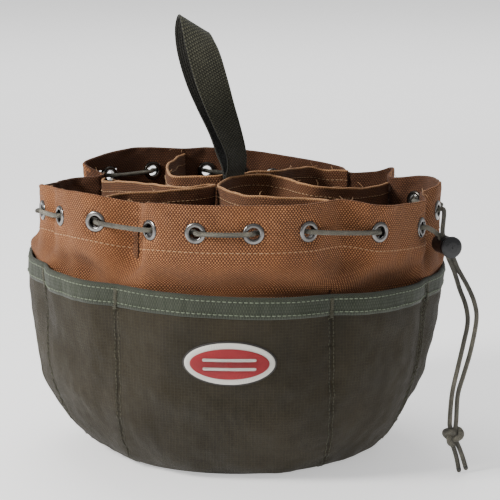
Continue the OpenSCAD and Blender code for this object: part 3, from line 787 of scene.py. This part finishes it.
# Faces turned inwards take the darker second canvas, which paints the shade inside the bag
wall.data.materials.append(SHADED_INSIDE)
centres = np.array([f.center for f in wall.data.polygons]) / MM
turned = np.array([f.normal for f in wall.data.polygons])
painted_shade_faces = np.sum(centres[:, :2] * turned[:, :2], axis=1) < -8
wall.data.polygons.foreach_set("material_index", painted_shade_faces.astype(np.int32))
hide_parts("canvas_wall")

hem_lines = []
fine = np.linspace(-172.5, 187.5, 1500)
v = 2 - HEM / wall_rise(fine)
for depth, way in ((0.0, 1), (WALL_T, -1)):
    out = way * normal(fine, v)
    hem_lines.append((wall_surface(fine, v, depth) + way * 0.12 * normal(fine, v), out))
hem_stitches = dress(stitches("hem_stitching", hem_lines, 3.9, 2.8, 0.26), TAN_THREAD)

# ---- pocket skirt ----
BADGE_U, BADGE_Z, BADGE_L, BADGE_H = -2, 93, 62, 30


def skirt_wave(u, v, p):
    badge = step01((np.linalg.norm((p - [-5, -146, BADGE_Z]) / [38, 60, 24], axis=-1) - 0.85) / 0.5)
    d = seam_distance(u)
    pucker = 0.75 * np.exp(-d / 6) * ripple(p * [0.6, 0.6, 2.4], 15, 11) * step01((v - 0.05) / 0.1)
    soft = 1.25 * ripple(p, 62, 12) + 0.55 * ripple(p, 27, 13)
    soft = soft * step01(v / 0.15) * (0.35 + 0.65 * between(u))
    fine_fold = 0.22 * ripple(p * [1, 1, 0.5], 10, 14) * step01(v / 0.2)
    return badge * (soft + fine_fold) * step01((1.12 - v) / 0.25) + pucker * badge


def hang(u, v):
    """The pocket seams hang nearly straight down, so lower on the bowl they lie further round."""
    return u + 18 * np.sin(2 * np.radians(u)) * (1 - meridian(v)[..., 0]) / (1 - BASE_R / BAG_R)


def skirt_surface(u, v, depth):
    w = hang(u, v)
    p = skin(w, v)
    a = plain_angle(u)
    side = bell(a, -94, 20, 4) + bell(a, 90, 20, 4)
    full = 7.5 * bell(a, -88, 34) - 1.8 * bell(a, 88, 34)
    full = full * bell(v, 0.52, 0.26) * step01(v / 0.12) * step01((1 - v) / 0.12)
    depth = depth + 0.7 * gape(u, v) * side - full
    groove = 0.7 * bell(seam_distance(u), 0, 1.6) * step01((v - 0.02) / 0.1)
    q = p - normal(w, v) * (depth - gape(u, v) - skirt_wave(u, v, p) + groove)[..., None]
    q[..., 2] = np.maximum(q[..., 2], 0.35 + 0.25 * np.maximum(depth, 0))
    return q


v_rows = np.concatenate([np.linspace(0, 0.25, 16, endpoint=False), np.linspace(0.25, 1, 42)])
Vs = np.broadcast_to(v_rows[:, None], (len(v_rows), len(COLS)))
Us = np.broadcast_to(COLS, Vs.shape)
so = skirt_surface(Us, Vs, 0.0)
si = skirt_surface(Us, Vs, SKIRT_T * 0.8)
skirt_rows = np.concatenate([so, lerp(so[-1:], si[-1:], 0.5) + [0, 0, 0.3], si[::-1]])
heights = lengths(skirt_rows[:, 20])
heights = np.append(heights, heights[-1] + 1)
# Each pocket panel takes its own part of the weave
PANEL_GAP = 137.0
radii = np.concatenate([meridian(v_rows)[:, 0], [1], meridian(v_rows)[::-1, 0], [BASE_R / BAG_R]]) * BAG_R
arc = np.radians(np.append(COLS, COLS[0] + 360))
mids = np.radians((SEAMS + np.append(SEAMS[1:], SEAMS[0] + 360)) / 2)
which = np.clip(np.searchsorted(SEAMS, np.degrees(arc), side="right") - 1, 0, len(SEAMS) - 1)
all_v = np.concatenate([v_rows, [1], v_rows[::-1], [0]])[:, None]
turned = np.radians(hang(np.degrees(arc)[None], all_v) - hang(np.degrees(mids[which])[None], all_v))
skirt_uv = np.stack([turned * radii[:, None] + which * PANEL_GAP,
                     np.broadcast_to(heights[:, None], turned.shape)], -1)
skirt = grid("pocket_skirt_cloth", skirt_rows, skirt_uv, round_cols=True, round_rows=True)
# The last column of each pocket takes the same panel's weave on both of its sides
me = skirt.data
layer = me.uv_layers[0].data
uv = np.empty(len(me.loops) * 2, np.float32)
layer.foreach_get("uv", uv)
uv = uv.reshape(-1, 4, 2)
jump = uv[:, 1, 0] - uv[:, 0, 0]
bad = np.abs(jump) > 0.05
step = 0.0019
uv[bad, 1, 0] = uv[bad, 0, 0] + step
uv[bad, 2, 0] = uv[bad, 3, 0] + step
layer.foreach_set("uv", uv.ravel())
dress(skirt, SKIRT)
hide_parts("pocket_skirt")

# Binding folded over the pocket mouths
BIND_H = 9.4
BIND_V = 1 - BIND_H / SKIRT_H
STITCH_OUT = 1.18
TACK_OUT = 1.3
bind_v = np.linspace(BIND_V, 1, 7)
Vb = np.broadcast_to(bind_v[:, None], (len(bind_v), len(COLS)))
Ub = np.broadcast_to(COLS, Vb.shape)
swell = np.array([0.15, 0.75, 0.9, 0.85, 0.9, 0.95, 0.9])[:, None]
row_share = np.linspace(0, 1, len(bind_v))[:, None]
uneven = 1.4 * ripple(np.stack([Ub * 2.6, Ub * 0, Ub * 0], -1), 60, 71)
ribs = np.sin(np.radians(Ub) * BAG_R * 2 * math.pi / 6.3 + uneven)
quilt = 0.3 * ribs * np.sin(np.pi * row_share) ** 2
bo = skirt_surface(Ub, Vb, -0.25 - swell - quilt)
bi = skirt_surface(Ub, Vb, SKIRT_T * 0.8 + 0.15 + swell * 0.6)
over = [lerp(bo[-1], bi[-1], s) + [0, 0, h] for s, h in ((0.08, 0.7), (0.3, 1.25), (0.7, 1.25), (0.92, 0.7))]
bind_rows = np.concatenate([bo, np.array(over), bi[::-1]])
bind_len = np.arange(len(bind_rows) + 1) * 1.5
bind_uv = np.stack(np.meshgrid(np.degrees(arc) * math.pi / 180 * BAG_R, bind_len), -1)
binding = grid("binding", bind_rows, bind_uv, round_cols=True, round_rows=True)
dress(binding, BINDING)
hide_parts("skirt_binding")

bind_lines = []
for v in (lerp(BIND_V, 1, 0.17), lerp(BIND_V, 1, 0.8)):
    vv = np.full(fine.shape, v)
    bind_lines.append((skirt_surface(fine, vv, -STITCH_OUT), normal(fine, vv)))
binding_stitches = dress(stitches("binding_stitching", bind_lines, 3.6, 2.7, 0.36), THREAD)

# Vertical seams that part the pockets, double at the right front
DOUBLE_SEAM = 62
seam_lines = []
down = np.linspace(0.03, 0.94, 220)
for s in SEAMS:
    for off in ((-1.6, 1.6) if s != DOUBLE_SEAM else (-4.2, -1.6, 1.6, 4.2)):
        uu = np.full(down.shape, s + math.degrees(off / BAG_R))
        seam_lines.append((skirt_surface(uu, down, -0.12), normal(uu, down)))
seam_stitches = dress(stitches("seam_stitching", seam_lines, 3.2, 2.4, 0.3), SEAM_THREAD)

tacks = []
for s in SEAMS:
    for centre in ((0,) if s != DOUBLE_SEAM else (-3, 3)):
        k = 24
        vv = np.linspace(BIND_V - 0.006, 0.99, k)
        uu = s + np.degrees((centre + 1.7 * np.where(np.arange(k) % 2, 1, -1)) / BAG_R)
        pts = skirt_surface(uu, vv, -TACK_OUT)
        tacks.append(tube("tack", spaced(pts, 0.8), 0.36, 6))
tack = dress(join("bar_tacks", tacks), SEAM_THREAD)
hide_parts("seam_bartacks")

# ---- base ----
ring_r = np.array([0.5, 20, 40, 60, 76, 86, 90.2, 91.4, 91.6, 91.0, 89.6, 80, 60, 40, 20, 0.5])
ring_z = np.array([0.5, 0.45, 0.4, 0.25, 0.12, 0.05, 0.02, 0.5, 1.2, 1.9, 2.4, 2.4, 2.5, 2.6, 2.6, 2.6])
wb = np.linspace(0, 2 * math.pi, 160, endpoint=False)
base_p = np.stack([ring_r[:, None] * np.sin(wb), -ring_r[:, None] * np.cos(wb),
                   np.broadcast_to(ring_z[:, None], (len(ring_r), len(wb)))], -1)
base_p[..., 2] += 0.25 * (1 + ripple(base_p, 40, 21)) * (ring_r[:, None] < 80)
base_p[..., 2] = np.maximum(base_p[..., 2], 0)
base_uv = np.concatenate([base_p[..., :2], base_p[:, :1, :2]], 1)
base = dress(grid("base_disc", base_p, base_uv, round_cols=True), BASE)
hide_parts("base_panel")

# ---- grommets ----
def lathe_at(name, profile, n=40):
    """A closed round profile (radius, height along the axis) at every grommet."""
    prof = np.array(profile, float)
    w = circle(n)
    objs = []
    for c, axis in HOLES:
        a = np.array([-axis[1], axis[0], 0])
        b = np.array([0, 0, 1.0])
        rad = np.cos(w)[None, :, None] * a + np.sin(w)[None, :, None] * b
        p = c + prof[:, :1, None] * rad + prof[:, 1:2, None] * axis
        uv = np.zeros((len(prof) + 1, n + 1, 2))
        objs.append(grid(name, p, uv, round_cols=True, round_rows=True))
    return join(name, objs)


EYELET = [(4.85, -1.1), (4.85, 1.25), (5.6, 1.3), (6.6, 1.22), (7.05, 1.1), (7.2, 1.25), (7.18, 1.5),
          (6.9, 1.85), (6.4, 2.1), (5.8, 2.28), (5.1, 2.3), (4.5, 2.18), (4.15, 1.95), (4.02, 1.6),
          (4.0, 1.2), (4.0, -2.1), (4.2, -2.75), (4.6, -2.95), (5.0, -2.8), (5.05, -2.5)]
WASHER = [(5.0, -1.25), (7.1, -1.25), (7.22, -1.4), (7.2, -1.9), (6.9, -2.25), (6.2, -2.45),
          (5.4, -2.5), (5.05, -2.45)]
eyelets = dress(lathe_at("eyelets", EYELET[::-1]), NICKEL)
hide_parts("grommet_eyelets")
# The washers take the darker nickel, which paints the shade inside the bag
washers = dress(lathe_at("washers", WASHER), SHADED_NICKEL)
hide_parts("grommet_washers")

# ---- dividers ----
# The top line of each divider, and the angles where it meets the wall
STRIPS = {
    "divider_right": ([
        [64, -104, 195], [48, -93, 196], [24, -92, 197], [6, -86, 197], [-7, -66, 198],
        [-13, -36, 198], [-7.5, -2, 197], [4, 21, 197], [20, 31, 196], [34, 24, 195],
        [52, 4, 192], [74, 8, 189], [98, 34, 186]], 25, 119),
    "divider_left": ([
        [-79, -106, 196], [-89, -93, 197], [-83, -78, 197], [-61, -69, 197], [-33, -59, 198],
        [-18.5, -43, 198], [-20, -31, 197], [-36, -33, 196], [-52, -22, 195], [-66, 4, 194],
        [-88, 36, 190], [-103, 60, 187]], -33, -120),
    "divider_back": ([
        [-48, 108, 199], [-53, 66, 198], [-50, 26, 197], [-36, 14, 197], [-13.5, 11.5, 198],
        [-3, 27, 197], [15, 42, 197], [28, 49, 197], [40, 76, 195], [54, 98, 193],
        [68, 106, 190]], -150, 149)}
V_SCAN = np.linspace(0, 2, 161)


def inside_at(u, z):
    uu = np.full(V_SCAN.shape, float(u))
    hidden = np.where(V_SCAN > 1.3, 0, SKIRT_OFF)
    p = under(uu, V_SCAN, hidden + WALL_T + 0.4)
    return np.array([np.interp(z, p[:, 2], p[:, k]) for k in (0, 1)])


def strip_rows(route, ua, ub, levels, m=12):
    z0 = BASE_T + 0.5
    route = np.array(route, float)
    tops = np.concatenate([route[:1, 2], route[:, 2], route[-1:, 2]])
    top_line = smooth(np.stack([tops, tops * 0, tops * 0], -1), m)[:, 0]
    rows = []
    for s in levels:
        a, b = inside_at(ua, lerp(z0, route[0, 2], s)), inside_at(ub, lerp(z0, route[-1, 2], s))
        room = min(1, np.linalg.norm(inside_at(0, lerp(z0, SKIRT_H * 1.4, s))) / (BAG_R - 6))
        plan = np.column_stack([route[:, :2] * room, np.zeros(len(route))])
        line = smooth(np.vstack([[*a, 0], plan, [*b, 0]]), m)
        line[:, 2] = lerp(z0, top_line, s)
        rows.append(line)
    return np.array(rows)


def loose_thread(a, d, reach, bend):
    return tube("thread", smooth([a, a + d, a + d * reach + rng.normal(size=3) * bend], 4), 0.16, 5)


levels = np.concatenate([np.linspace(0, 0.9, 34), np.linspace(0.91, 0.985, 14), [0.992, 1]])
divider_lines, loose = [], []
rng = np.random.default_rng(7)
for seed, (name, (pts, ua, ub)) in enumerate(STRIPS.items()):
    mid = strip_rows(pts, ua, ub, levels)
    t = unit(np.gradient(mid, axis=1))
    n = unit(np.stack([t[..., 1], -t[..., 0], np.zeros(t.shape[:2])], -1))
    ends = step01(np.minimum(np.arange(mid.shape[1]), mid.shape[1] - 1 - np.arange(mid.shape[1])) / 10)[None]
    soft = 1.1 * ripple(mid, 55, 31 + seed) + 0.35 * ripple(mid, 17, 41 + seed)
    soft = soft * ends * (0.4 + 0.6 * levels[:, None])
    mid = mid + n * soft[..., None]
    mid[..., 2] += 0.5 * ripple(mid, 30, 51 + seed) * levels[:, None] ** 4 * ends
    half = DIVIDER_T / 2
    front, back = mid + n * half, mid - n * half
    rows = np.concatenate([front, lerp(front[-1:], back[-1:], 0.5) + [0, 0, 0.35], back[::-1]])
    if rows.shape[0] % 2:
        rows = np.concatenate([rows[:len(levels) + 1], rows[len(levels):]])
    along = lengths(mid[-1])
    up = lengths(rows[:, 30])
    uv = np.stack(np.meshgrid(along, np.append(up, up[-1] + 1)), -1)
    strip = dress(grid(name + "_cloth", rows, uv, round_rows=True, caps=True), DIVIDER)
    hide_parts(name)
    STRIPS[name] += (strip, float(along[-1]))
    # Raw light edge along the top, and its line of stitches
    edge_mid, edge_n = mid[-1], n[-1]
    w = np.linspace(0, 2 * math.pi, 10, endpoint=False)
    ring = (edge_mid[None] + edge_n[None] * (0.98 * np.cos(w))[:, None, None]
            + np.array([0, 0, 1.0]) * (0.0 - 0.9 * np.sin(w))[:, None, None])
    ring += edge_n[None] * (0.12 * ripple(ring, 3.0, 61 + seed))[..., None]
    uv = np.stack(np.meshgrid(along, np.arange(11) * 0.8), -1)
    edge = dress(grid(name + "_edge", ring, uv, round_rows=True), EDGE)
    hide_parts(name)
    low_row = mid[int(np.argmin(np.abs(levels - 0.96)))]
    low_n = n[int(np.argmin(np.abs(levels - 0.96)))]
    for way in (1, -1):
        divider_lines.append((low_row + low_n * way * (half + 0.08), low_n * way))
    for k in rng.integers(6, len(edge_mid) - 6, 9):
        a = edge_mid[k] + [0, 0, 1.2]
        d = rng.normal(size=3) * [1.6, 1.6, 0.6] + [0, 0, rng.uniform(-0.2, 1.2)]
        loose.append(loose_thread(a, d, 2, 1.2))
dress(stitches("divider_stitching", divider_lines, 3.6, 2.6, 0.26), TAN_THREAD)
# Loose ends at the rim, where the dividers meet the wall
for s in SEAMS:
    for k in range(3):
        a = wall_surface(np.array(s + rng.uniform(-3, 3)), np.array(1.99), np.array(1.0)) + [0, 0, 0.6]
        d = rng.normal(size=3) * [1.6, 1.6, 0.8] + [0, 0, rng.uniform(0.2, 1.4)]
        loose.append(loose_thread(a, d, 1.8, 1.5))
frayed = dress(join("frayed_threads", loose), FRAY)

# ---- handle ----
HANDLE = np.array([-2.5, 17.5, 203])
WEB_W, WEB_T = 25.4, 1.8
LOOP = np.array([
    [-0.4, 16.2, 205.5, 58, 0], [-1.2, 14.5, 216, 55, 0], [-7.2, 10, 234, 42, 0], [-13.5, 6, 252, 30, 0],
    [-19, 3, 270, 16, -3], [-24.5, 1, 290, 6, -10], [-28.5, 3, 303, 2, -23], [-31, 7.5, 309, 2, -31],
    [-33, 12.5, 308, 2, -31], [-34, 16.5, 299, 2, -24], [-31.5, 19, 284, 2, -14], [-25, 20, 264, 15, -4],
    [-18, 21, 246, 32, 0], [-12, 21.5, 230, 46, 0], [-7.5, 20.2, 214, 55, 0], [-4.6, 18.8, 205.5, 58, 0]])
fold = np.array([math.sin(math.radians(58)), -math.cos(math.radians(58))])
below_a = [[*(HANDLE[:2] + fold * 0.95), z, 58, 0] for z in (168, 180, 192, 199)]
below_b = [[*(HANDLE[:2] - fold * 0.95), z, 58, 0] for z in (199, 192, 180, 168)]
rows5 = np.vstack([below_a, LOOP, below_b])
line = smooth(rows5[:, :3], 10)
turn = smooth(np.column_stack([rows5[:, 3:5], np.zeros(len(rows5))]), 10)
az, tilt = np.radians(turn[:, 0]), np.radians(turn[:, 1])
across = np.stack([np.cos(az) * np.cos(tilt), np.sin(az) * np.cos(tilt), np.sin(tilt)], -1)
t = unit(np.gradient(line, axis=0))
n = unit(np.cross(t, across))
# The webbing's section, with thicker selvedges: one side, then the same turned half round
side = [(-1, -0.35), (-0.985, -0.8), (-0.95, -1), (-0.9, -0.86)]
side += [(x, -0.84) for x in np.linspace(-0.7, 0.7, 8)] + [(0.9, -0.86), (0.95, -1), (0.985, -0.8), (1, -0.35)]
section = np.vstack([side, -np.array(side)])
s = lengths(line)
ring = (line[None] + across[None] * (section[:, :1, None] * WEB_W / 2)
        + n[None] * (section[:, 1:2, None] * WEB_T / 2))
round_web = lengths(section * [WEB_W / 2, WEB_T / 2])
round_web = np.append(round_web, round_web[-1] + 1)
uv = np.stack(np.meshgrid(s, round_web), -1)[..., ::-1]
handle = grid("carry_webbing", ring, uv, round_rows=True, caps=True)
dress(handle, WEBBING, body=None)
handle.data.materials.append(WEBBING_SHADED_SIDE)
# One side of the webbing, the inner side of the loop, takes the darker copy: painted shade
shaded_side_faces = np.zeros(len(handle.data.polygons), np.int32)
shaded_side_faces[len(side) * (len(line) - 1):len(section) * (len(line) - 1)] = 1
handle.data.polygons.foreach_set("material_index", shaded_side_faces)
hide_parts("handle_loop", "handle_ends")
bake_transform(handle)

# ---- badge: a plain oval with a raised field and two bars ----
def level_at(u, z):
    v = np.linspace(0, 1, 200)
    return np.interp(z / mouth_z(u), meridian(v)[:, 1], v)


def badge_point(rho, phi, length, height, off):
    u = BADGE_U + np.degrees(length / 2 * np.cos(phi) * rho / BAG_R)
    v = level_at(u, BADGE_Z + height / 2 * np.sin(phi) * rho)
    return under(u, v, -gape(u, v) - off)


def oval(name, length, height, profile, material, n=96):
    """A closed low plate from pairs of a share of its radius and a height off the skirt."""
    phi = circle(n)
    p = np.array([badge_point(r, phi, length, height, off) for r, off in profile])
    uv = np.zeros((len(profile), n + 1, 2))
    for k, (r, off) in enumerate(profile):
        uv[k, :, 0] = np.append(phi, 2 * math.pi) * 16
        uv[k, :, 1] = r * height / 2
    return dress(grid(name, p, uv, round_cols=True), material)


plate = oval("badge_border", BADGE_L, BADGE_H,
             [(0.02, 0.3), (0.6, 0.3), (0.99, 0.3), (1, 0.6), (0.995, 0.95), (0.975, 1.2), (0.94, 1.3),
              (0.9, 1.25), (0.6, 1.1), (0.02, 1.1)], BORDER)
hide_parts("badge_plate")
# A dark plate just larger than the border and under it: painted shadow round the badge
painted_shadow_ring = oval("badge_outline", BADGE_L + 2.4, BADGE_H + 2.4,
               [(0.02, 0.15), (0.6, 0.15), (0.995, 0.15), (1, 0.4), (0.985, 0.7), (0.96, 0.75),
                (0.6, 0.75), (0.02, 0.75)], BADGE_SHADOW)
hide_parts("badge_plate")
field = oval("badge_field", BADGE_L - 8, BADGE_H - 8,
             [(0.02, 1.2), (0.6, 1.2), (0.99, 1.2), (1, 1.5), (0.985, 1.8), (0.95, 1.95), (0.6, 2.0),
              (0.3, 2.0), (0.02, 2.0)], FIELD)
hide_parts("badge_inlay")
bars = []
for dz, half_l in ((3.2, 17), (-3.2, 17)):
    x = np.linspace(-half_l, half_l, 60)
    u = BADGE_U + np.degrees(x / BAG_R)
    v = level_at(u, BADGE_Z + dz)
    bars.append(tube("bar", under(u, v, -gape(u, v) - 1.75), 1.15, 10))
dress(join("badge_bars", bars), BORDER)

# ---- carried-over CAD nodes ----
for obj, material in zip(LOCK_NODES, (BLACK, BLACK, SPRING)):
    obj.data.materials.clear()
    obj.data.materials.append(material)

# ---- floor and light ----
def floor_material():
    m = Nodes("floor", Specular_IOR_Level=0.3)
    col = m.mix(m.between(m.noise(3.0, 4.0), 0.35, 0.7, 0.0, 0.25), rgb(246, 246, 246), rgb(238, 238, 238))
    m.bsdf.inputs["Emission Color"].default_value = (1, 1, 1, 1)
    m.bsdf.inputs["Emission Strength"].default_value = 0.6
    return m.finish(col, m.noise(120.0, 3.0), 0.00005, 0.6, 0.3)


floor_corners = [[-6000, -4000, 0], [6000, -4000, 0], [6000, 8000, 0], [-6000, 8000, 0]]
floor = make("floor", floor_corners, [(0, 1, 2, 3)])
floor.data.materials.append(floor_material())

world = bpy.data.worlds.new("studio")
bpy.context.scene.world = world
world.use_nodes = True
world.node_tree.nodes["Background"].inputs["Color"].default_value = (1, 1, 1, 1)
world.node_tree.nodes["Background"].inputs["Strength"].default_value = 0.46


def area_light(name, place, aim, size, power, colour=(1, 1, 1)):
    data = bpy.data.lights.new(name, "AREA")
    data.shape = "RECTANGLE"
    data.size, data.size_y = size
    data.energy = power
    data.color = colour
    obj = bpy.data.objects.new(name, data)
    bpy.context.collection.objects.link(obj)
    obj.location = place
    obj.rotation_euler = (Vector(aim) - Vector(place)).to_track_quat("-Z", "Y").to_euler()


area_light("key", (-1.3, -0.7, 1.0), (0, 0, 0.12), (0.45, 0.45), 40, (1, 0.98, 0.95))
area_light("top", (-0.2, 0.6, 1.6), (0, 0, 0.1), (1.2, 1.2), 14)
area_light("back", (0.0, 3.0, 2.6), (0, 4.5, 0.0), (4.0, 3.0), 90)
